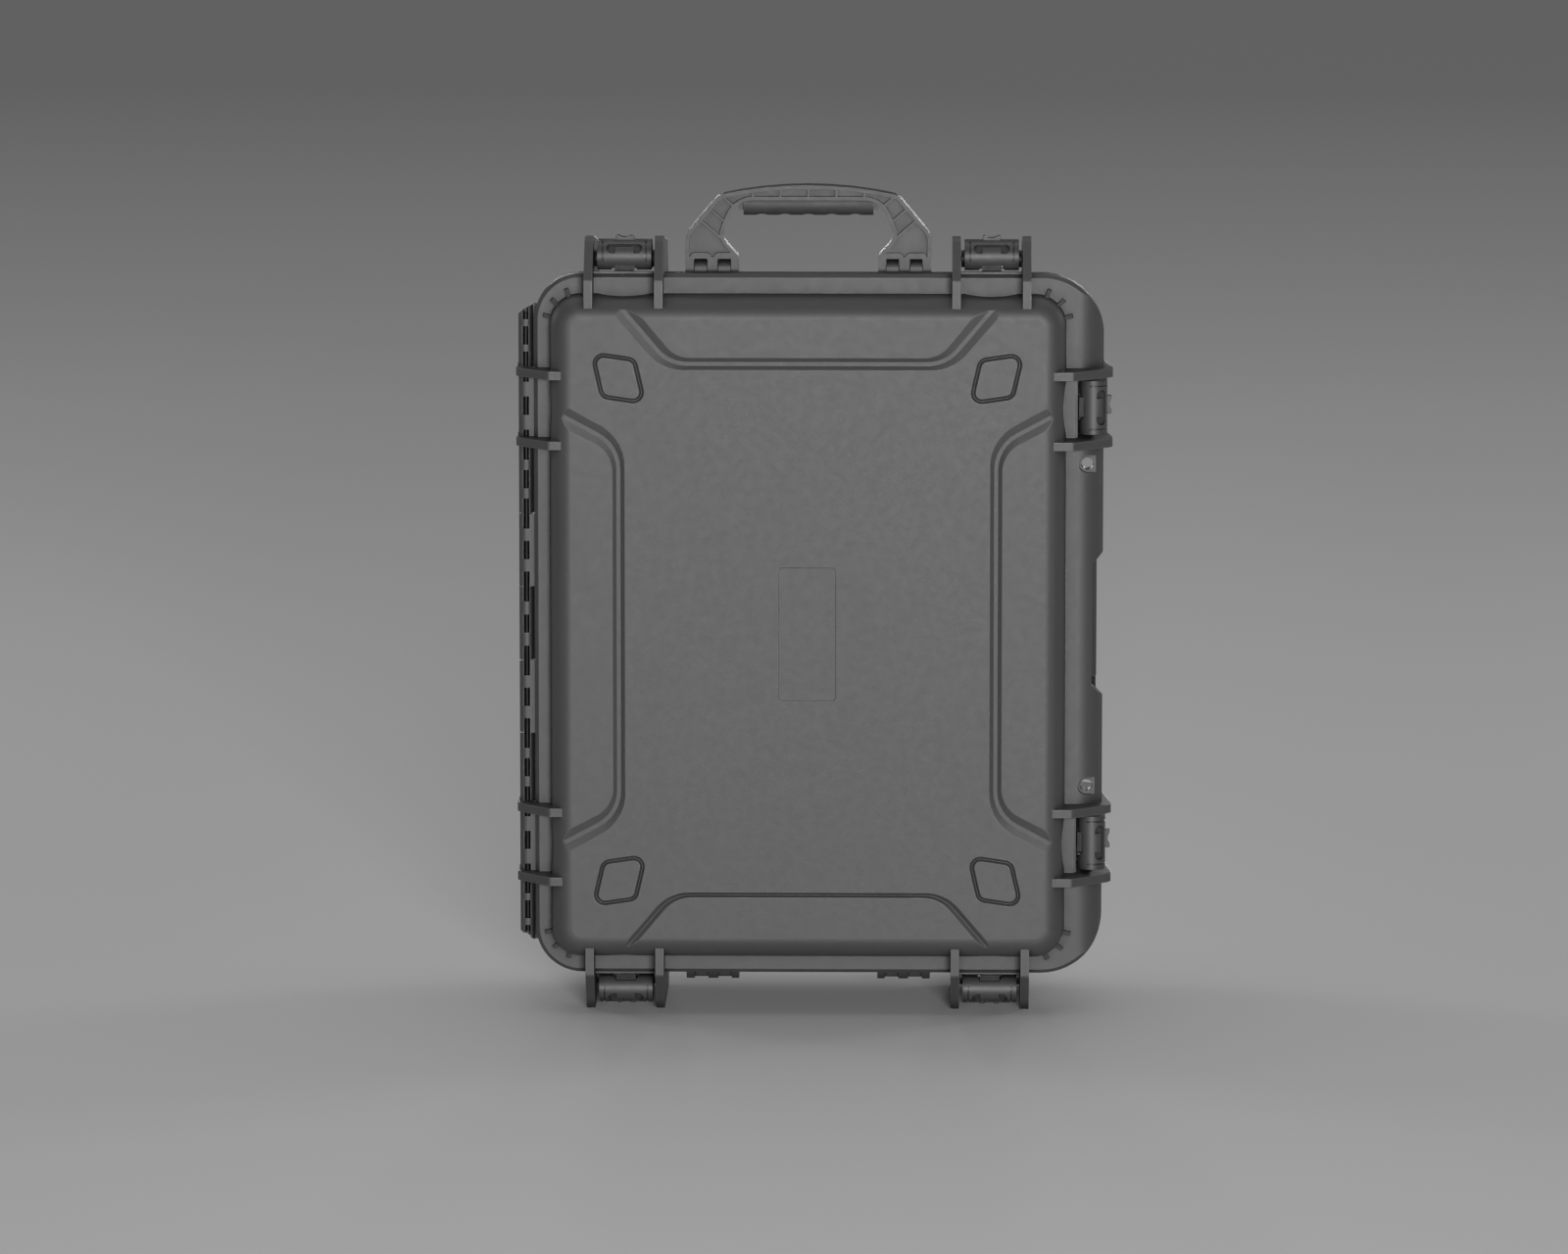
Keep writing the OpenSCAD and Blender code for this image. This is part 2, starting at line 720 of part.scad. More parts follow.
module base_shell() {
    color(shell_colour) difference() {
        union() {
            base_body();
            difference() {
                base_side() base_flange();
                roll_cut();
                notch_cut();
                padlock_cut();
                latch_room();
            }
            for (i = [0 : len(SIDES) - 1], s = [-1, 1])
                at_latch(i) translate([s * rib_offset, 0, 0]) difference() {
                    base_rib(0, rib_back, rib_reach, rib_reach - (i < 4 ? rib_taper : 0), -rib_inner);
                    translate([0, lever_pin_y, lever_pin_z])
                        along_x(rib_t + cut) circle(pin_r + pin_gap);
                }
            at_hinge_ribs()
                base_rib(hinge_rib_start, rib_back, hinge_rib_reach, hinge_rib_reach - rib_taper / 2,
                         -rib_inner);
            for (i = [0 : 2]) at_handle(i) handle_lugs();
            at_valve() translate([0, 0, -wall]) cylinder(r = valve_r + 2, h = wall + 1.5);
            base_side() stacking_feet();
            translate([0, -groove_d + seal_t + seal_gap, 0]) base_side()
                seal_ring(tongue_w, groove_d);
            base_knuckles();
        }
        base_side() cavity(base_w - 2 * wall, base_h - 2 * wall, shell_r - wall,
                           base_d - face_t, back_r - wall, base_draft);
        at_valve() translate([0, 0, -2 * wall]) cylinder(r = valve_r / 2, h = 4 * wall);
        hinge_cut();
        barrel_end_cut();
    }
}

// Pins

module hinge_pin() {
    length = hinge_len - 14;
    color(steel_colour) translate([hinge_x, 0, -length / 2]) cylinder(r = hinge_pin_r, h = length);
}

module latch_hinge_pins() {
    color(steel_colour) at_all_latches() translate([0, lever_pin_y, lever_pin_z])
        along_x(rib_space + 2 * rib_t) circle(pin_r);
}

module handle_pins() {
    color(steel_colour) for (i = [0 : 2]) at_handle(i)
        for (s = [-1, 1]) translate([s * (handle_w - leg_w) / 2, 0, 0])
            along_x(leg_w) circle(pin_r);
}

// Pressure valve

module valve_body() {
    color(rubber_colour) at_valve() {
        translate([0, 0, 1.5 + 1]) difference() {
            cylinder(r = valve_r, h = 5);
            for (a = [0 : 30 : 330]) rotate([0, 0, a])
                translate([valve_r + 0.8, 0, -cut]) cylinder(r = 1.8, h = 7);
        }
        translate([0, 0, -wall - 9]) cylinder(r = valve_r / 2 - air, h = wall + 12);
    }
}

module valve_seal() {
    color(rubber_colour) at_valve() translate([0, 0, 1.5]) difference() {
        cylinder(r = valve_r - 2, h = 1);
        translate([0, 0, -cut]) cylinder(r = valve_r / 2, h = 1 + 2 * cut);
    }
}

module valve_nut() {
    lean = base_draft * (valve_y + valve_r) / base_d;
    color(lever_colour) at_valve() translate([0, 0, -wall - lean - 4.7]) difference() {
        cylinder(r = valve_r - 1, h = 4.5, $fn = 6);
        translate([0, 0, -cut]) cylinder(r = valve_r / 2, h = 5 + 2 * cut);
    }
}

// Latches, drawn at the edge plane

// Side view of the lever
module lever_section() {
    translate([nose_y, nose_z]) circle(nose_r);
    polygon([[nose_y, lever_lift], [nose_y, lever_top], [20, lever_top], [lever_pin_y + 5, 16],
             [lever_pin_y + 6, lever_pin_z], [lever_pin_y, 1], [19, lever_lift]]);
    translate([lever_pin_y, lever_pin_z]) circle(lever_end_r);
}

// Trapezoid window in the nose's lower edge
module lever_window() {
    height = 4.5;
    translate([0, nose_y - nose_r - cut, lever_lift]) rotate([-90, 0, 0])
        linear_extrude(nose_r + cut)
            polygon([[-11, cut], [-10.7, 0], [-8, -height], [8, -height], [10.7, 0], [11, cut]]);
}

// Finger recess in the nose, with a bridge across its middle
module lever_recess() {
    translate([0, nose_y, nose_z]) rotate([-38, 0, 0]) difference() {
        translate([0, -nose_r - cut, 0]) rotate([-90, 0, 0]) linear_extrude(cut + 2.4)
            round_box(29, 9, 4.4);
        translate([-7.5, -nose_r, -5]) cube([15, nose_r, 6]);
    }
}

module lever(i) {
    boss = (rib_space - lever_w) / 2 - air;
    color(lever_colour) difference() {
        union() {
            along_x(lever_w) lever_section();
            translate([0, lever_pin_y, lever_pin_z]) along_x(lever_w + 2 * boss) circle(lever_end_r - 1);
        }
        // Pocket for the claw and the button, open towards the flange
        along_x(2 * pocket_half) union() {
            translate([nose_y, nose_z]) circle(nose_r - lever_wall);
            translate([nose_y - 2, 0]) square([pocket_back - nose_y + 2, nose_z]);
            translate([nose_y, nose_z - cut])
                square([pocket_back - nose_y, nose_r - lever_wall + cut]);
        }
        // Slot that the hook swings in
        translate([-claw_w / 2 - 0.8, -9.4, 0]) cube([claw_w + 1.6, 9.4, 12.5]);
        lever_window();
        lever_recess();
        // Slits beside the middle of the lever
        for (s = [-1, 1]) translate([s * 17.6, nose_y, nose_z]) along_x(1.4) difference() {
            square(nose_r + cut);
            circle(nose_r - 1.2);
        }
        // Slot for the button
        translate([-button_w / 2 - air, button_y - button_len / 2 - air, nose_z])
            cube([button_w + 2 * air, button_len + 2 * air, nose_r + cut]);
        translate([0, lever_pin_y, lever_pin_z]) along_x(rib_space) circle(pin_r + pin_gap);
        translate([0, claw_y, claw_z]) along_x(lever_w + cut) circle(claw_pin_r + pin_gap);
    }
}

module claw(i) {
    color(steel_colour) difference() {
        along_x(claw_w) polygon(soft_outline([
            [hook_y, lever_lift - 0.6, 0.8],
            [hook_y + 4, lever_lift - 0.6, 0.8],
            [hook_y + 4, claw_z - 2.2, 1],
            [claw_y + 3, claw_z - 3.5, 3],
            [claw_tail.x, claw_tail.y - 3.5, 1.2],
            [claw_tail.x, claw_tail.y, 1.2],
            [claw_y + 1, claw_z + 3.8, 3],
            [hook_y, claw_z + 1.2, 2]], 4));
        translate([0, claw_y, claw_z]) along_x(claw_w + cut) circle(claw_pin_r + pin_gap);
    }
}

// Torsion spring round the claw's pin, beside the claw
module claw_spring(i) {
    wire_r = 0.4;
    coil_r = claw_pin_r + 0.4 + wire_r;
    pitch = 2 * wire_r + 0.1;
    turns = 3.75;
    leg = 4;
    steps = 12;
    sides = 5;
    last = round(turns * steps);
    start = claw_w / 2 + air + wire_r;
    function out(a) = [0, cos(a), sin(a)];
    function along(a) = unit([pitch / (2 * PI * coil_r), -sin(a), cos(a)]);
    function ring(a, shift) =
        let (p = [start + pitch * a / 360, claw_y, claw_z] + coil_r * out(a) + shift * along(a),
             side = cross(along(a), out(a)))
        [for (k = [0 : sides - 1])
            p + wire_r * (cos(360 * k / sides) * out(a) + sin(360 * k / sides) * side)];
    points = concat(ring(0, -leg), [for (t = [0 : last]) each ring(360 * t / steps, 0)],
                    ring(360 * last / steps, 2 * leg));
    rings = last + 3;
    walls = [for (t = [0 : rings - 2], k = [0 : sides - 1])
        let (a = sides * t, b = a + sides, next = (k + 1) % sides)
        each [[a + k, b + k, b + next], [a + k, b + next, a + next]]];
    ends = [[for (k = [0 : sides - 1]) k], [for (k = [1 : sides]) rings * sides - k]];
    color(steel_colour) polyhedron(points, concat(walls, ends));
}

module claw_pin(i) {
    color(steel_colour) translate([0, claw_y, claw_z]) along_x(lever_w - 1) circle(claw_pin_r);
}

module button(i) {
    top = lever_top + button_h;
    ledge = nose_z + nose_r - lever_wall - air;
    color(rubber_colour) translate([0, button_y, 0]) difference() {
        union() {
            translate([-button_w / 2, -button_len / 2, ledge - cut])
                cube([button_w, button_len, top - ledge + cut]);
            translate([-button_w / 2 - 2, -button_len / 2, ledge - 2])
                cube([button_w + 4, button_len, 2]);
            translate([-4, claw_tail.x - button_y - 3, claw_tail.y + air])
                cube([8, 3, ledge - claw_tail.y - air]);
        }
        // Dished top for the finger
        translate([0, 0, top + 7]) along_y(button_len + cut) circle(8.6);
    }
}

// Handles, drawn raised with the pins at the origin

// Height of the handle's crown at x
function crown(x) =
    let (half = handle_w / 2 - shoulder_in, r = (half * half + crown_rise * crown_rise) / (2 * crown_rise))
    handle_h - r + sqrt(r * r - x * x);

function handle_outer() =
    let (half = handle_w / 2, corner = half - shoulder_in, step = (corner - 19) / 3)
    concat(
        [[-half, 0, 0], [half, 0, 0], [half, leg_h, 14], [corner, crown(corner), 12]],
        [for (i = [3 : -1 : -3]) [i * step, crown(i * step), 0]],
        [[-corner, crown(corner), 12], [-half, leg_h, 14]]);

function handle_inner() =
    let (leg = handle_w / 2 - leg_w, side = [[leg, -cut, 0], [leg, 11, 6], [leg + 14, 26, 12], [leg + 2, beam_z, 20]])
    concat([[-leg, -cut, 0]], side,
           [for (k = [3, 2, 1]) [-side[k].x, side[k].y, side[k][2]]]);

// Places children at the middle of each slot between a leg's fingers
module at_slots() {
    for (s = [-1, 1], x = [leg_first, leg_second])
        translate([s * (handle_w / 2 - x - slot_w / 2), 0, 0]) children();
}

// Webs across the pockets of a handle: upright, and slanted at [x, height, angle]
module handle_webs() {
    for (i = [-2 : 2]) translate([i * web_step, handle_h - 8]) square([web_w, 24], center = true);
    for (s = [-1, 1], p = slanted_webs)
        translate([s * p.x, handle_h + p.y]) rotate(s * p.z) square([70, web_w], center = true);
}

// Bar that the grip is moulded on
module grip_bar() {
    translate([0, 0, beam_z - bar_t / 2 + 1])
        cube([handle_w - 2 * leg_w, bar_t, bar_t + 2], center = true);
}

module handle(i) {
    color(lever_colour) difference() {
        union() {
            along_y(handle_t) difference() {
                polygon(soft_outline(handle_outer()));
                polygon(soft_outline(handle_inner()));
            }
            for (s = [-1, 1]) translate([s * (handle_w - leg_w) / 2, 0, 0])
                along_x(leg_w) circle(finger_r);
            grip_bar();
        }
        // Pockets in the front and back, between rim and webs
        for (s = [-1, 1]) translate([0, s * (handle_t / 2 - pocket_d / 2 + cut / 2), 0])
            along_y(pocket_d + cut) difference() {
                polygon(soft_outline(inset(handle_outer(), rim)));
                polygon(soft_outline(inset(handle_inner(), -rim)));
                translate([-handle_w, -cut]) square([2 * handle_w, slot_top + 1.5 + cut]);
                at_slots() round_box(slot_w + 6, 2 * (slot_top + 4.8), 4);
                handle_webs();
            }
        // Slots between the fingers
        at_slots() along_y(handle_t + cut) polygon(soft_outline([
            [-slot_w / 2, -finger_r - cut, 0], [slot_w / 2, -finger_r - cut, 0],
            [slot_w / 2, slot_top, 1.2], [-slot_w / 2, slot_top, 1.2]]));
        along_x(handle_w + cut) circle(pin_r + pin_gap);
    }
}

// Rounded grip under the beam, scalloped for the fingers
module handle_grip(i) {
    half = handle_w / 2 - leg_w - 4;
    scallop_r = 10.5;
    color(rubber_colour) difference() {
        intersection() {
            translate([0, 0, beam_z - 3]) along_x(2 * half) circle(grip_r);
            along_y(3 * grip_r) polygon(soft_outline(inset(handle_inner(), air / 2)));
        }
        grip_bar();
        for (k = [-2 : 2]) translate([k * 19, 0, beam_z - 3 - grip_r - scallop_r + 1.3])
            along_y(2 * grip_r + cut) circle(scallop_r);
    }
}

// Moves the case to its frame
module placed() {
    translate([frame_x, frame_y, frame_z]) children();
}

placed() base_shell();
placed() lid_shell();
placed() lid_seal();
placed() hinge_pin();
placed() latch_hinge_pins();
placed() handle_pins();
placed() valve_body();
placed() valve_seal();
placed() valve_nut();
for (i = [0 : len(SIDES) - 1]) {
    placed() at_latch(i) lever(i);
    placed() at_latch(i) claw(i);
    placed() at_latch(i) claw_pin(i);
    placed() at_latch(i) claw_spring(i);
    placed() at_latch(i) button(i);
}
for (i = [0 : len(HANDLES) - 1]) {
    placed() at_handle(i, true) handle(i);
    placed() at_handle(i, true) handle_grip(i);
}
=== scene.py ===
"""Dresses the standing equipment case: moulded plastic, nylon latches, rubber grips and steel pins."""

import json
import math

import bmesh
import bpy
from mathutils import Matrix, Vector


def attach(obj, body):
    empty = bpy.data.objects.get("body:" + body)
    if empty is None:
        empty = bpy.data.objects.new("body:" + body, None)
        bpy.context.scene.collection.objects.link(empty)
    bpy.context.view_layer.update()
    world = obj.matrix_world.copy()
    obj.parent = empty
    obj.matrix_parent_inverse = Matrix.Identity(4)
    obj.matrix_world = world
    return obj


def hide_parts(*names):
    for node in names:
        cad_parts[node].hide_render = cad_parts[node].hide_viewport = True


bl_info = {
    "name": "Equipment Case",
    "version": (1, 0, 0),
    "blender": (4, 5, 0),
    "location": "View3D > Sidebar > Case",
    "description": "Finishes a moulded equipment case with latches, handles and a hinged lid",
    "category": "Object",
}

MM = 0.001

# Corners closer than this are joined, faces within this angle count as flat, and edges from this
# angle on are rounded. An edge lies across another where their cosine is under ACROSS.
JOIN_WITHIN = 0.03 * MM
FLAT_WITHIN = math.radians(0.5)
EDGE_FROM = math.radians(25.0)
ACROSS = 0.7

# How far from a surface a neighbour still casts the painted shade in a groove and in a corner
GROOVE_REACH = 10.0 * MM
CORNER_REACH = 4.0 * MM

# Sizes of the patterns in the plastics, the rubber, the steel and the floor's paper. The steel's
# draw marks are stretched along Z.
FLOW_MARK = 120.0 * MM
MOTTLE = 7.0 * MM
SCUFF = 16.0 * MM
DUST_SPECK = 11.0 * MM
DRAW_MARK = 0.35 * MM
DRAW_STRETCH = (1.0, 1.0, 0.05)
STAIN = 9.0 * MM
PAPER_MOTTLE = 600.0 * MM
# How ragged each pattern's blobs are
RAGGED = 0.55

# Tones as shares of the plain colour, two of them painted shade, and how much smoother than the rest an
# edge is where hands rub it
FLOW_TONE = 0.92
# The groove tone is painted shade in grooves and inner corners
GROOVE_SHADE_TONE = 0.22
DUST_TONE = 1.22
STAIN_TONE = 0.78
# The far tone is painted shade on the floor far behind the case
FAR_SHADE_TONE = 0.58
EDGE_POLISH = 0.18

# A lever's nose: its radius, where its middle lies from the lever's pin, inwards and outwards,
# and the part of its round that the slits cut, from above to below the front
NOSE_R = 11.5 * MM
NOSE_FROM_PIN = (-29.5 * MM, 5.1 * MM)
SLIT_FROM = math.radians(80.0)
SLIT_SWEEP = math.radians(122.0)
SLIT_STEPS = 24
SLIT_COUNT = 2
# What the slits' tree is given, with the kind of each
SLIT_INPUTS = {
    "Geometry": "Geometry",
    "Radius": "Float",
    "Width": "Float",
    "Depth": "Float",
    "Apart": "Float",
    "Count": "Int",
    "Place": "Vector",
    "Turn": "Vector",
}

# The floor reaches this far to each side, and painted shade darkens it from here to there behind the
# case
FLOOR_REACH = 40.0
GRADE_FROM = 4.2
GRADE_TO = 9.0

# Where the lamps stand, in metres, and what they point at
CASE_MIDDLE = (0.0, 0.0, 0.32)
SPOT_TARGET = (0.0, 0.05, 0.33)
SOFTBOX_PLACE = (0.7, -7.0, 0.95)
OVERHEAD_PLACE = (0.0, 1.1, 3.0)
PANEL_OUT = 3.2
PANEL_BEHIND = 1.8
PANEL_HEIGHT = 1.5
SPOT_OUT = 0.7
SPOT_BEHIND = 6.8
SPOT_HEIGHT = 0.55

# What the photograph's middle shows, in the plane where lid and base meet, the size of a pixel
# there and the photograph's width in pixels
VIEW_MIDDLE = (-24.8 * MM, -61.5 * MM, 314.3 * MM)
PIXEL = 0.8 * MM
VIEW_PIXELS = 1600
# The camera's sensor in its own millimetres, and how far it sees
SENSOR_WIDTH = 36.0
VIEW_END = 100.0

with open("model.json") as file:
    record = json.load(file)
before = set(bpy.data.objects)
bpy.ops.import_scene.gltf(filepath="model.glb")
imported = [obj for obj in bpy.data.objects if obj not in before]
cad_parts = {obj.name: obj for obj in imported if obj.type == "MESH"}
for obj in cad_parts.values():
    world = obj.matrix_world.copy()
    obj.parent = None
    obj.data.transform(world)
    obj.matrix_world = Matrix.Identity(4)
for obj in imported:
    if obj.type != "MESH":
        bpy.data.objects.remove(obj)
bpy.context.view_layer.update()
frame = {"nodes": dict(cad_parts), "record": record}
NODES = frame["nodes"]
BODY_OF = {node: body for body, members in frame["record"]["behaviour"]["bodies"].items()
           for node in members}
PIN_OF = {joint["child"]: joint for joint in frame["record"]["behaviour"]["joints"]
          if joint["name"].startswith("latch_turn")}


# Sizes and colours that a user would change

class ShellSettings(bpy.types.PropertyGroup):
    """Finish of the two moulded shells"""

    colour: bpy.props.StringProperty(
        name="Plastic", description="Colour of the moulded polypropylene", default="3b3b3b")
    roughness: bpy.props.FloatProperty(
        name="Roughness", description="Roughness of the eroded mould surface", default=0.54)
    grain: bpy.props.FloatProperty(
        name="Grain", description="Size of a grain of the mould's texture",
        default=0.9 * MM, unit="LENGTH")
    edge: bpy.props.FloatProperty(
        name="Edge", description="Radius of the moulding's edges", default=0.8 * MM, unit="LENGTH")


class LatchSettings(bpy.types.PropertyGroup):
    """Finish of the levers and buttons"""

    colour: bpy.props.StringProperty(
        name="Nylon", description="Colour of the filled nylon", default="393939")
    button_colour: bpy.props.StringProperty(
        name="Button", description="Colour of the release buttons", default="353535")
    roughness: bpy.props.FloatProperty(
        name="Roughness", description="Roughness of the levers and buttons", default=0.5)
    grain: bpy.props.FloatProperty(
        name="Grain", description="Size of a grain of the mould's texture",
        default=0.7 * MM, unit="LENGTH")
    edge: bpy.props.FloatProperty(
        name="Edge", description="Radius of the edges of levers and buttons",
        default=0.5 * MM, unit="LENGTH")
    slit_width: bpy.props.FloatProperty(
        name="Slit width", description="Width of the slits round a lever's nose",
        default=1.3 * MM, unit="LENGTH")
    slit_depth: bpy.props.FloatProperty(
        name="Slit depth", description="Depth of the slits round a lever's nose",
        default=1.1 * MM, unit="LENGTH")
    slit_apart: bpy.props.FloatProperty(
        name="Slit distance", description="Distance between a lever's two slits",
        default=35.2 * MM, unit="LENGTH")


class HandleSettings(bpy.types.PropertyGroup):
    """Finish of the handles and their grips"""

    colour: bpy.props.StringProperty(
        name="Nylon", description="Colour of the handles", default="2f2f2f")
    roughness: bpy.props.FloatProperty(
        name="Roughness", description="Roughness of the handles", default=0.52)
    grain: bpy.props.FloatProperty(
        name="Grain", description="Size of a grain of the mould's texture",
        default=0.8 * MM, unit="LENGTH")
    edge: bpy.props.FloatProperty(
        name="Edge", description="Radius of the handles' edges", default=0.35 * MM, unit="LENGTH")
    grip_colour: bpy.props.StringProperty(
        name="Rubber", description="Colour of the grips", default="303030")
    grip_roughness: bpy.props.FloatProperty(
        name="Rubber's roughness", description="Roughness of the grips", default=0.62)


class MetalSettings(bpy.types.PropertyGroup):
    """Finish of the pins and claws"""

    colour: bpy.props.StringProperty(
        name="Steel", description="Colour of the darkened steel", default="272728")
    roughness: bpy.props.FloatProperty(
        name="Roughness", description="Roughness of the darkened steel", default=0.5)


class SealSettings(bpy.types.PropertyGroup):
    """Finish of the lid's seal and the pressure valve"""

    seal_colour: bpy.props.StringProperty(
        name="Neoprene", description="Colour of the lid's seal", default="2b2b2b")
    washer_colour: bpy.props.StringProperty(
        name="Washer", description="Colour of the valve's rubber washer", default="262626")
    valve_colour: bpy.props.StringProperty(
        name="Valve", description="Colour of the valve's body and nut", default="323232")


class StageSettings(bpy.types.PropertyGroup):
    """Floor, surroundings and camera"""

    floor_colour: bpy.props.StringProperty(
        name="Floor", description="Colour of the floor", default="cfcfcf")
    world_colour: bpy.props.StringProperty(
        name="Surroundings", description="Colour of the light from all round", default="8c8c8c")
    camera_distance: bpy.props.FloatProperty(
        name="Distance", description="Distance of the camera", default=7.7, unit="LENGTH")
    camera_height: bpy.props.FloatProperty(
        name="Elevation", description="Angle of the camera above the horizon",
        default=math.radians(8.0), subtype="ANGLE")
    camera_side: bpy.props.FloatProperty(
        name="Azimuth", description="Angle of the camera to the right of the front",
        default=math.radians(1.0), subtype="ANGLE")


SETTINGS = {
    "case_shell": ShellSettings,
    "case_latch": LatchSettings,
    "case_handle": HandleSettings,
    "case_metal": MetalSettings,
    "case_seal": SealSettings,
    "case_stage": StageSettings,
}


# Node and colour helpers

def linear(hex_colour):
    """Linear RGBA of an sRGB hex colour"""
    parts = [int(hex_colour[i:i + 2], 16) / 255 for i in (0, 2, 4)]
    return tuple(c / 12.92 if c <= 0.04045 else ((c + 0.055) / 1.055) ** 2.4 for c in parts) + (1.0,)


def toned(colour, share):
    """A linear colour made darker or paler"""
    return tuple(min(1.0, c * share) for c in colour[:3]) + (1.0,)


def add(tree, kind, settings=None, **links):
    """Adds a node: settings by attribute, and inputs by name, or by i and number, as values or links"""
    node = tree.nodes.new(kind)
    for name, value in (settings or {}).items():
        setattr(node, name, value)
    for name, value in links.items():
        key = int(name[1:]) if name[0] == "i" and name[1:].isdigit() else name.replace("_", " ")
        socket = node.inputs[key]
        if isinstance(value, bpy.types.NodeSocket):
            tree.links.new(value, socket)
        else:
            socket.default_value = value
    return node


def new_material(name):
    """Material with an empty node tree, and the coordinates of its object"""
    material = bpy.data.materials.new(name)
    material.use_nodes = True
    tree = material.node_tree
    tree.nodes.clear()
    return material, tree, add(tree, "ShaderNodeTexCoord").outputs["Object"]


def edge_mask(tree, radius):
    """How far the surface turns near an edge: 0 on flat faces, 1 on a sharp edge"""
    bevel = add(tree, "ShaderNodeBevel", {"samples": 4}, Radius=radius)
    geometry = add(tree, "ShaderNodeNewGeometry")
    turn = add(tree, "ShaderNodeVectorMath", {"operation": "DOT_PRODUCT"},
               i0=bevel.outputs["Normal"], i1=geometry.outputs["Normal"])
    mask = add(tree, "ShaderNodeMapRange", Value=turn.outputs["Value"], From_Min=0.99, From_Max=0.86)
    return mask.outputs["Result"]


def groove_shade_mask(tree):
    """Mask of painted shade: 1 on open faces, falling to 0 in narrow grooves and close to inner corners
    """
    wide = add(tree, "ShaderNodeAmbientOcclusion", {"samples": 5}, Distance=GROOVE_REACH)
    close = add(tree, "ShaderNodeAmbientOcclusion", {"samples": 5}, Distance=CORNER_REACH)
    groove = add(tree, "ShaderNodeMapRange", Value=wide.outputs["AO"],
                 From_Min=0.4, From_Max=0.93, To_Min=0.2)
    corner = add(tree, "ShaderNodeMapRange", Value=close.outputs["AO"], From_Min=0.5, From_Max=0.88)
    clear = add(tree, "ShaderNodeMath", {"operation": "MULTIPLY"},
                i0=groove.outputs["Result"], i1=corner.outputs["Result"])
    return clear.outputs["Value"]


# Materials

def moulded_plastic(name, colour, roughness, grain, depth, edge, wear_and_highlight_share):
    """Injection-moulded plastic.

    The mould's eroded texture gives a fine even grain, drawn coarser than the real one so that it
    shows. Slow flow marks vary the tone.
    Handling rubs the edges a little smoother, and the edges are painted paler, partly as wear and
    partly as a painted highlight.
    Grooves and inner corners get painted shade. No moulded edge is sharp, so the light rounds over each
    one.
    """
    material, tree, coords = new_material(name)
    flow = add(tree, "ShaderNodeTexNoise", Vector=coords, Scale=1 / FLOW_MARK, Detail=3.0,
               Roughness=RAGGED)
    mottle = add(tree, "ShaderNodeTexNoise", Vector=coords, Scale=1 / MOTTLE, Detail=4.0,
                 Roughness=RAGGED)
    fine = add(tree, "ShaderNodeTexNoise", Vector=coords, Scale=1 / grain, Detail=3.0,
               Roughness=RAGGED)
    # Scuffs show only where something rubs, so they break up the paler edges, which are part wear and
    # part painted highlight
    scuff = add(tree, "ShaderNodeTexNoise", Vector=coords, Scale=1 / SCUFF, Detail=5.0,
                Roughness=RAGGED)
    patches = add(tree, "ShaderNodeMapRange", Value=scuff.outputs["Fac"],
                  From_Min=0.42, From_Max=0.62, To_Min=0.45)
    wear_and_highlight_mask = add(tree, "ShaderNodeMath", {"operation": "MULTIPLY"},
               i0=edge_mask(tree, 2 * edge), i1=patches.outputs["Result"])

    base = linear(colour)
    both = add(tree, "ShaderNodeMath", {"operation": "ADD"},
               i0=flow.outputs["Fac"], i1=mottle.outputs["Fac"])
    shade = add(tree, "ShaderNodeMapRange", Value=both.outputs["Value"], From_Min=0.76, From_Max=1.24)
    ground = add(tree, "ShaderNodeMix", {"data_type": "RGBA"}, Factor=shade.outputs["Result"],
                 i6=toned(base, FLOW_TONE), i7=base)
    # Paler edges: partly handling wear, partly a painted highlight
    wear_and_highlight_tone = add(tree, "ShaderNodeMix", {"data_type": "RGBA"}, Factor=wear_and_highlight_mask.outputs["Value"],
                  i6=ground.outputs[2], i7=toned(base, wear_and_highlight_share))
    # Painted shade darkens grooves and inner corners
    groove_shaded = add(tree, "ShaderNodeMix", {"data_type": "RGBA"}, Factor=groove_shade_mask(tree),
                i6=toned(base, GROOVE_SHADE_TONE), i7=wear_and_highlight_tone.outputs[2])

    eased = add(tree, "ShaderNodeBevel", {"samples": 8}, Radius=edge)
    bump = add(tree, "ShaderNodeBump", Strength=0.35, Distance=depth, Height=fine.outputs["Fac"],
               Normal=eased.outputs["Normal"])
    sheen = add(tree, "ShaderNodeMapRange", Value=mottle.outputs["Fac"], From_Min=0.3, From_Max=0.7,
                To_Min=roughness - 0.02, To_Max=roughness + 0.03)
    polish = add(tree, "ShaderNodeMath", {"operation": "MULTIPLY"},
                 i0=wear_and_highlight_mask.outputs["Value"], i1=EDGE_POLISH)
    rough = add(tree, "ShaderNodeMath", {"operation": "SUBTRACT"},
                i0=sheen.outputs["Result"], i1=polish.outputs["Value"])
    shader = add(tree, "ShaderNodeBsdfPrincipled", Base_Color=groove_shaded.outputs[2], IOR=1.5,
                 Roughness=rough.outputs["Value"], Normal=bump.outputs["Normal"])
    add(tree, "ShaderNodeOutputMaterial", Surface=shader.outputs["BSDF"])
    return material


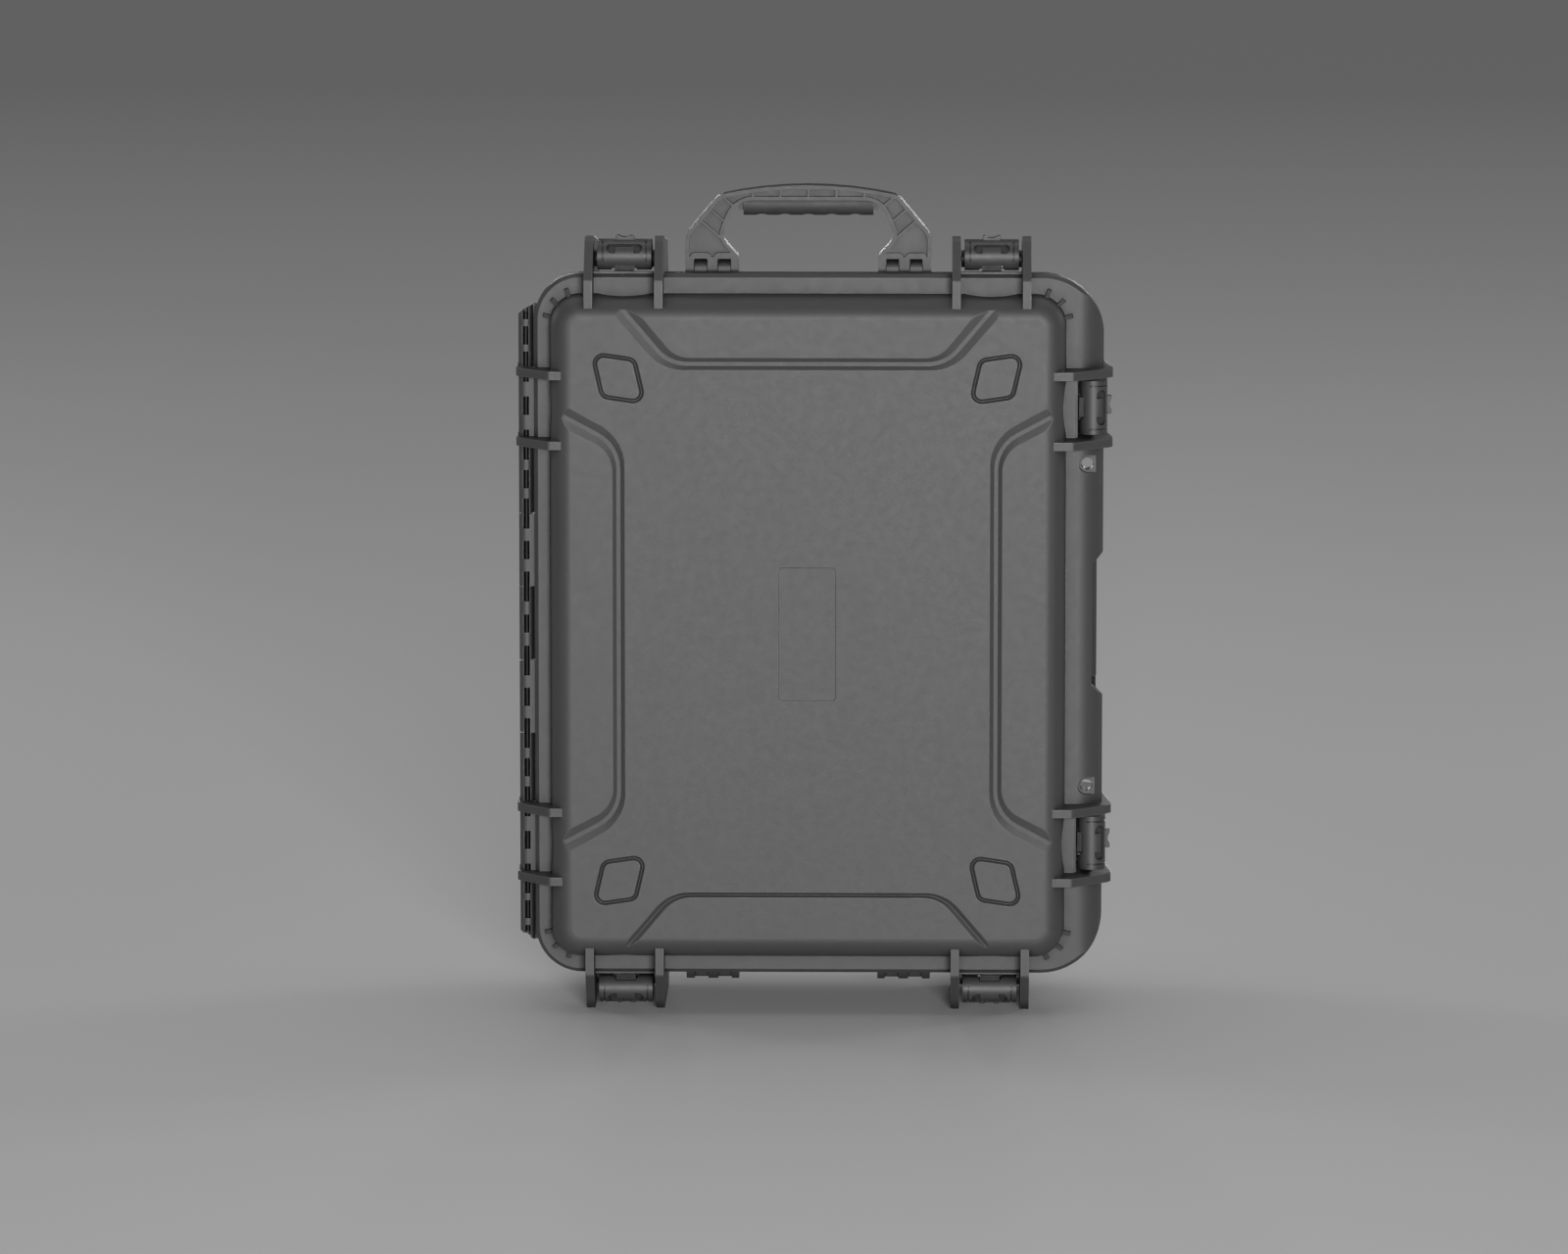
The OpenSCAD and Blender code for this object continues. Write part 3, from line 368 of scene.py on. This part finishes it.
def rubber(name, colour, roughness, pore, depth):
    """Moulded rubber: dull and paler where dust sticks to it.

    The fine pores of its mould are drawn coarser than the real ones, so that they show.
    """
    material, tree, coords = new_material(name)
    pores = add(tree, "ShaderNodeTexNoise", Vector=coords, Scale=1 / pore, Detail=4.0,
                Roughness=RAGGED)
    dust = add(tree, "ShaderNodeTexNoise", Vector=coords, Scale=1 / DUST_SPECK, Detail=5.0,
               Roughness=RAGGED)
    base = linear(colour)
    dusted = add(tree, "ShaderNodeMapRange", Value=dust.outputs["Fac"], From_Min=0.35, From_Max=0.7)
    tone = add(tree, "ShaderNodeMix", {"data_type": "RGBA"}, Factor=dusted.outputs["Result"],
               i6=base, i7=toned(base, DUST_TONE))
    bump = add(tree, "ShaderNodeBump", Strength=0.4, Distance=depth, Height=pores.outputs["Fac"])
    rough = add(tree, "ShaderNodeMapRange", Value=dust.outputs["Fac"], From_Min=0.3, From_Max=0.7,
                To_Min=roughness - 0.06, To_Max=roughness + 0.06)
    shader = add(tree, "ShaderNodeBsdfPrincipled", Base_Color=tone.outputs[2], IOR=1.52,
                 Roughness=rough.outputs["Result"], Normal=bump.outputs["Normal"])
    add(tree, "ShaderNodeOutputMaterial", Surface=shader.outputs["BSDF"])
    return material


def drawn_steel(name, colour, roughness):
    """Drawn stainless rod and strip with a dark oxide on it, and faint stains.

    The upright draw marks are drawn coarser than the real ones, so that they show.
    """
    material, tree, coords = new_material(name)
    upright = add(tree, "ShaderNodeMapping", Vector=coords, Scale=DRAW_STRETCH)
    marks = add(tree, "ShaderNodeTexNoise", Vector=upright.outputs["Vector"], Scale=1 / DRAW_MARK,
                Detail=3.0, Roughness=RAGGED)
    stain = add(tree, "ShaderNodeTexNoise", Vector=coords, Scale=1 / STAIN, Detail=4.0,
                Roughness=RAGGED)
    base = linear(colour)
    stained = add(tree, "ShaderNodeMapRange", Value=stain.outputs["Fac"], From_Min=0.4, From_Max=0.75)
    tone = add(tree, "ShaderNodeMix", {"data_type": "RGBA"}, Factor=stained.outputs["Result"],
               i6=base, i7=toned(base, STAIN_TONE))
    bump = add(tree, "ShaderNodeBump", Strength=0.25, Distance=0.05 * MM, Height=marks.outputs["Fac"])
    rough = add(tree, "ShaderNodeMapRange", Value=marks.outputs["Fac"], From_Min=0.3, From_Max=0.7,
                To_Min=roughness - 0.07, To_Max=roughness + 0.08)
    shader = add(tree, "ShaderNodeBsdfPrincipled", Base_Color=tone.outputs[2], Metallic=1.0,
                 Roughness=rough.outputs["Result"], Normal=bump.outputs["Normal"])
    add(tree, "ShaderNodeOutputMaterial", Surface=shader.outputs["BSDF"])
    return material


def floor_paper(name, colour):
    """Matt paper, faintly mottled: pale where the case stands, and darkened far behind it with painted
    shade
    """
    material, tree, coords = new_material(name)
    mottle = add(tree, "ShaderNodeTexNoise", Vector=coords, Scale=1 / PAPER_MOTTLE, Detail=3.0,
                 Roughness=RAGGED)
    place = add(tree, "ShaderNodeSeparateXYZ", Vector=coords)
    # Painted shade: the floor's colour gets darker with distance behind the case
    near = add(tree, "ShaderNodeMapRange", Value=place.outputs["Y"],
               From_Min=GRADE_FROM, From_Max=GRADE_TO, To_Min=1.0, To_Max=0.02)
    faint = add(tree, "ShaderNodeMapRange", Value=mottle.outputs["Fac"], To_Min=0.95)
    pale = add(tree, "ShaderNodeMath", {"operation": "MULTIPLY"},
               i0=near.outputs["Result"], i1=faint.outputs["Result"])
    base = linear(colour)
    tone = add(tree, "ShaderNodeMix", {"data_type": "RGBA"}, Factor=pale.outputs["Value"],
               i6=toned(base, FAR_SHADE_TONE), i7=base)
    shader = add(tree, "ShaderNodeBsdfPrincipled", Base_Color=tone.outputs[2], Roughness=0.9,
                 Specular_IOR_Level=0.2)
    add(tree, "ShaderNodeOutputMaterial", Surface=shader.outputs["BSDF"])
    return material


# Pieces

def finish_node(node, material):
    """Gives a CAD node its material"""
    mesh = NODES[node].data
    mesh.materials.clear()
    mesh.materials.append(material)


def slit_tree(material):
    """Geometry tree that cuts a row of slits round a lever's nose, and what sets each of its inputs"""
    tree = bpy.data.node_groups.new("nose_slits", "GeometryNodeTree")
    tree.is_modifier = True
    inputs = {}
    for name, kind in SLIT_INPUTS.items():
        socket = tree.interface.new_socket(name, in_out="INPUT", socket_type="NodeSocket" + kind)
        inputs[name] = socket.identifier
    tree.interface.new_socket("Geometry", in_out="OUTPUT", socket_type="NodeSocketGeometry")
    given = add(tree, "NodeGroupInput").outputs
    arc = add(tree, "GeometryNodeCurveArc", {"mode": "RADIUS"}, Resolution=SLIT_STEPS,
              Radius=given["Radius"], Start_Angle=SLIT_FROM, Sweep_Angle=SLIT_SWEEP)
    # The section reaches as far out of the nose as it goes into it
    tall = add(tree, "ShaderNodeMath", {"operation": "MULTIPLY"}, i0=given["Depth"], i1=2.0)
    profile = add(tree, "GeometryNodeCurvePrimitiveQuadrilateral", Width=tall.outputs[0],
                  Height=given["Width"])
    cutter = add(tree, "GeometryNodeCurveToMesh", Curve=arc.outputs["Curve"],
                 Profile_Curve=profile.outputs["Curve"], Fill_Caps=True)
    half = add(tree, "ShaderNodeMath", {"operation": "MULTIPLY"}, i0=given["Apart"], i1=-0.5)
    first = add(tree, "ShaderNodeCombineXYZ", Z=half.outputs[0])
    step = add(tree, "ShaderNodeCombineXYZ", Z=given["Apart"])
    row = add(tree, "GeometryNodeMeshLine", Count=given["Count"], Start_Location=first.outputs[0],
              Offset=step.outputs[0])
    placed = add(tree, "GeometryNodeInstanceOnPoints", Points=row.outputs["Mesh"],
                 Instance=cutter.outputs["Mesh"])
    solid = add(tree, "GeometryNodeRealizeInstances", Geometry=placed.outputs["Instances"])
    moved = add(tree, "GeometryNodeTransform", Geometry=solid.outputs["Geometry"],
                Translation=given["Place"], Rotation=given["Turn"])
    cut = add(tree, "GeometryNodeMeshBoolean", {"operation": "DIFFERENCE", "solver": "EXACT"},
              i0=given["Geometry"], i1=moved.outputs["Geometry"])
    real = add(tree, "GeometryNodeRealizeInstances", Geometry=cut.outputs["Mesh"])
    named = add(tree, "GeometryNodeSetMaterial", Geometry=real.outputs["Geometry"], Material=material)
    add(tree, "NodeGroupOutput", i0=named.outputs["Geometry"])
    return tree, inputs


def slit_lever(lever, tree, inputs, s):
    """Cuts the slits into a lever, found from the pin that it turns on"""
    pin = PIN_OF[BODY_OF[lever.name.removesuffix("_rounded")]]
    along = -Vector(pin["axis"])
    inward = Vector((0, 1, 0))
    outward = along.cross(inward)
    nose = Vector(pin["pos_m"]) + inward * NOSE_FROM_PIN[0] + outward * NOSE_FROM_PIN[1]
    turn = Matrix((inward, outward, along)).transposed().to_euler()
    slits = lever.modifiers.new("slits", "NODES")
    slits.node_group = tree
    values = {"Radius": NOSE_R, "Width": s.slit_width, "Depth": s.slit_depth,
              "Apart": s.slit_apart, "Count": SLIT_COUNT, "Place": nose, "Turn": turn}
    for name, value in values.items():
        slits[inputs[name]] = value


def flatten(obj):
    """Turns what an object's modifiers make into its mesh"""
    made = bpy.data.meshes.new_from_object(obj.evaluated_get(bpy.context.evaluated_depsgraph_get()))
    obj.modifiers.clear()
    obj.data = made
    return made


def has_room(edge, room):
    """Whether the faces beside an edge reach further than room at both its ends"""
    ahead = (edge.verts[1].co - edge.verts[0].co).normalized()
    for end in edge.verts:
        for other in end.link_edges:
            if other is not edge and other.calc_length() < room:
                turn = (other.verts[1].co - other.verts[0].co).normalized()
                if abs(turn.dot(ahead)) < ACROSS:
                    return False
    return True


def rounded_copy(node, radius, material, carve=None):
    """Makes a copy of a CAD node with rounded edges, which stands for the node.

    The CAD mesh is loose triangles, so they are joined and its flat faces made whole first.
    Edges that turn by less than EDGE_FROM belong to curved faces.
    """
    mesh = bpy.data.meshes.new(node + "_rounded")
    obj = bpy.data.objects.new(node + "_rounded", mesh)
    bpy.context.scene.collection.objects.link(obj)
    joined = bmesh.new()
    joined.from_mesh(NODES[node].data)
    bmesh.ops.remove_doubles(joined, verts=joined.verts, dist=JOIN_WITHIN)
    if carve:
        joined.to_mesh(mesh)
        carve(obj)
        joined.clear()
        joined.from_mesh(flatten(obj))
        bmesh.ops.remove_doubles(joined, verts=joined.verts, dist=JOIN_WITHIN)
    bmesh.ops.dissolve_limit(joined, angle_limit=FLAT_WITHIN, verts=joined.verts, edges=joined.edges)
    for face in joined.faces:
        face.smooth = True
    weights = joined.edges.layers.float.new("bevel_weight_edge")
    for edge in joined.edges:
        if len(edge.link_faces) == 2 and edge.calc_face_angle() > EDGE_FROM:
            if has_room(edge, 2 * radius):
                edge[weights] = 1.0
            else:
                edge.smooth = False
    joined.to_mesh(obj.data)
    joined.free()
    bevel = obj.modifiers.new("edges", "BEVEL")
    bevel.width = radius
    bevel.segments = 2
    bevel.limit_method = "WEIGHT"
    flat = obj.modifiers.new("flat_faces", "WEIGHTED_NORMAL")
    flat.keep_sharp = True
    rounded = flatten(obj)
    rounded.materials.clear()
    rounded.materials.append(material)
    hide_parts(node)
    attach(obj, BODY_OF[node])


# Operators

class CASE_OT_shells(bpy.types.Operator):
    """Finishes the lid and the base"""

    bl_idname = "case.shells"
    bl_label = "Shells"

    def execute(self, context):
        s = context.scene.case_shell
        plastic = moulded_plastic("moulded_polypropylene", s.colour, s.roughness, s.grain,
                                  depth=0.12 * MM, edge=s.edge, wear_and_highlight_share=2.3)
        for node in ("base_shell", "lid_shell"):
            finish_node(node, plastic)
        return {"FINISHED"}


class CASE_OT_latches(bpy.types.Operator):
    """Finishes the levers, the buttons, the claws and all pins"""

    bl_idname = "case.latches"
    bl_label = "Latches and pins"

    def execute(self, context):
        s = context.scene.case_latch
        m = context.scene.case_metal
        nylon = moulded_plastic("filled_nylon_lever", s.colour, s.roughness, s.grain,
                                depth=0.06 * MM, edge=s.edge, wear_and_highlight_share=2.3)
        button = moulded_plastic("filled_nylon_button", s.button_colour, s.roughness, s.grain,
                                 depth=0.06 * MM, edge=s.edge, wear_and_highlight_share=2.3)
        steel = drawn_steel("drawn_stainless_steel", m.colour, m.roughness)
        tree, inputs = slit_tree(nylon)
        # The claws' springs keep the plain steel that the frame gives them
        for node in NODES:
            if node.startswith("latch_lever"):
                rounded_copy(node, s.edge, nylon, lambda lever: slit_lever(lever, tree, inputs, s))
            elif node.startswith("latch_button"):
                rounded_copy(node, s.edge, button)
            elif node.startswith("latch_claw") or node.endswith("_pins") or node == "hinge_pin":
                finish_node(node, steel)
        return {"FINISHED"}


class CASE_OT_handles(bpy.types.Operator):
    """Finishes the carrying handles and their grips"""

    bl_idname = "case.handles"
    bl_label = "Handles"

    def execute(self, context):
        s = context.scene.case_handle
        nylon = moulded_plastic("filled_nylon_handle", s.colour, s.roughness, s.grain,
                                depth=0.08 * MM, edge=s.edge, wear_and_highlight_share=2.0)
        soft = rubber("overmoulded_rubber", s.grip_colour, s.grip_roughness,
                      pore=0.5 * MM, depth=0.08 * MM)
        for node in NODES:
            if node.startswith("handle_grip"):
                finish_node(node, soft)
            elif node.startswith("handle_") and node != "handle_pins":
                finish_node(node, nylon)
        return {"FINISHED"}


class CASE_OT_seal_and_valve(bpy.types.Operator):
    """Finishes the lid's seal and the pressure valve"""

    bl_idname = "case.seal_and_valve"
    bl_label = "Seal and valve"

    def execute(self, context):
        s = context.scene.case_seal
        neoprene = rubber("closed_cell_neoprene", s.seal_colour, 0.8, pore=0.6 * MM, depth=0.15 * MM)
        washer = rubber("nitrile_washer", s.washer_colour, 0.7, pore=0.4 * MM, depth=0.05 * MM)
        nylon = moulded_plastic("black_nylon_valve", s.valve_colour, 0.4, grain=0.6 * MM,
                                depth=0.05 * MM, edge=0.4 * MM, wear_and_highlight_share=1.5)
        finish_node("lid_seal", neoprene)
        finish_node("valve_seal", washer)
        finish_node("valve_body", nylon)
        finish_node("valve_nut", nylon)
        return {"FINISHED"}


def look_at(obj, place, target):
    """Puts a lamp or camera at place, turned to target"""
    obj.location = place
    obj.rotation_euler = (Vector(target) - Vector(place)).to_track_quat("-Z", "Y").to_euler()


def lamp(name, kind, place, target, **settings):
    """Lamp of a kind at place, turned to target"""
    light = bpy.data.lights.new(name, kind)
    for key, value in settings.items():
        setattr(light, key, value)
    obj = bpy.data.objects.new(name, light)
    bpy.context.scene.collection.objects.link(obj)
    look_at(obj, place, target)


class CASE_OT_stage(bpy.types.Operator):
    """Adds the floor, the lamps and the camera"""

    bl_idname = "case.stage"
    bl_label = "Stage"

    def execute(self, context):
        s = context.scene.case_stage
        self.floor(s)
        self.lamps(context.scene, s)
        self.camera(context.scene, s)
        context.scene.view_settings.view_transform = "Standard"
        return {"FINISHED"}

    def floor(self, s):
        """One large sheet that the case stands on"""
        mesh = bpy.data.meshes.new("floor")
        sheet = bmesh.new()
        corners = [(-1, -1), (1, -1), (1, 1), (-1, 1)]
        sheet.faces.new([sheet.verts.new((x * FLOOR_REACH, y * FLOOR_REACH, 0.0)) for x, y in corners])
        sheet.to_mesh(mesh)
        sheet.free()
        floor = bpy.data.objects.new("floor", mesh)
        bpy.context.scene.collection.objects.link(floor)
        mesh.materials.append(floor_paper("floor_paper", s.floor_colour))

    def lamps(self, scene, s):
        """Six lamps and a weak light from all round"""
        # A softbox by the camera lights what faces the front and leaves the rounded sides dark
        lamp("front_softbox", "AREA", SOFTBOX_PLACE, CASE_MIDDLE,
             shape="RECTANGLE", size=1.5, size_y=1.3, energy=490.0)
        # Even light from above, a little behind the case, draws its shadow towards the camera
        lamp("overhead", "SUN", OVERHEAD_PLACE, (0.0, 0.0, 0.0),
             energy=0.94, angle=math.radians(75.0))
        # Two tall panels far out light the floor beside the case and edge its outline
        for side in (-1, 1):
            lamp("side_panel", "AREA", (side * PANEL_OUT, PANEL_BEHIND, PANEL_HEIGHT), CASE_MIDDLE,
                 shape="RECTANGLE", size=0.8, size_y=1.2, energy=15.0)
        # Two low and narrow spots light the case's back and only graze the floor
        for side in (-1, 1):
            lamp("back_spot", "SPOT", (side * SPOT_OUT, SPOT_BEHIND, SPOT_HEIGHT), SPOT_TARGET,
                 energy=240.0, spot_size=math.radians(9.0), spot_blend=0.6, shadow_soft_size=0.3)
        world = bpy.data.worlds.new("studio")
        scene.world = world
        world.use_nodes = True
        background = world.node_tree.nodes["Background"]
        background.inputs["Color"].default_value = linear(s.world_colour)
        background.inputs["Strength"].default_value = 0.1

    def camera(self, scene, s):
        """The photograph's camera"""
        target = Vector(VIEW_MIDDLE)
        level = math.cos(s.camera_height)
        away = Vector((math.sin(s.camera_side) * level, -math.cos(s.camera_side) * level,
                       math.sin(s.camera_height)))
        data = bpy.data.cameras.new("camera")
        data.sensor_width = SENSOR_WIDTH
        data.lens = SENSOR_WIDTH * s.camera_distance / (VIEW_PIXELS * PIXEL)
        data.clip_end = VIEW_END
        camera = bpy.data.objects.new("camera", data)
        scene.collection.objects.link(camera)
        look_at(camera, target + away * s.camera_distance, target)
        scene.camera = camera


class CASE_PT_panel(bpy.types.Panel):
    """Lists the steps that finish the case"""

    bl_idname = "CASE_PT_panel"
    bl_label = "Equipment Case"
    bl_space_type = "VIEW_3D"
    bl_region_type = "UI"
    bl_category = "Case"

    def draw(self, context):
        for operator in STEPS:
            self.layout.operator(operator.bl_idname)
        for name, group in SETTINGS.items():
            box = self.layout.box()
            box.label(text=group.__doc__)
            for key in group.__annotations__:
                box.prop(getattr(context.scene, name), key)


STEPS = [CASE_OT_stage, CASE_OT_shells, CASE_OT_latches, CASE_OT_handles, CASE_OT_seal_and_valve]


def register():
    """Registers the classes and puts the settings on the scene"""
    for name, group in SETTINGS.items():
        bpy.utils.register_class(group)
        setattr(bpy.types.Scene, name, bpy.props.PointerProperty(type=group))
    for cls in STEPS + [CASE_PT_panel]:
        bpy.utils.register_class(cls)


def unregister():
    """Takes everything off again"""
    for cls in [CASE_PT_panel] + STEPS[::-1]:
        bpy.utils.unregister_class(cls)
    for name, group in SETTINGS.items():
        delattr(bpy.types.Scene, name)
        bpy.utils.unregister_class(group)


def main():
    """Runs every step"""
    register()
    bpy.ops.case.stage()
    bpy.ops.case.shells()
    bpy.ops.case.latches()
    bpy.ops.case.handles()
    bpy.ops.case.seal_and_valve()
    bpy.context.view_layer.update()


if __name__ == "__main__":
    main()
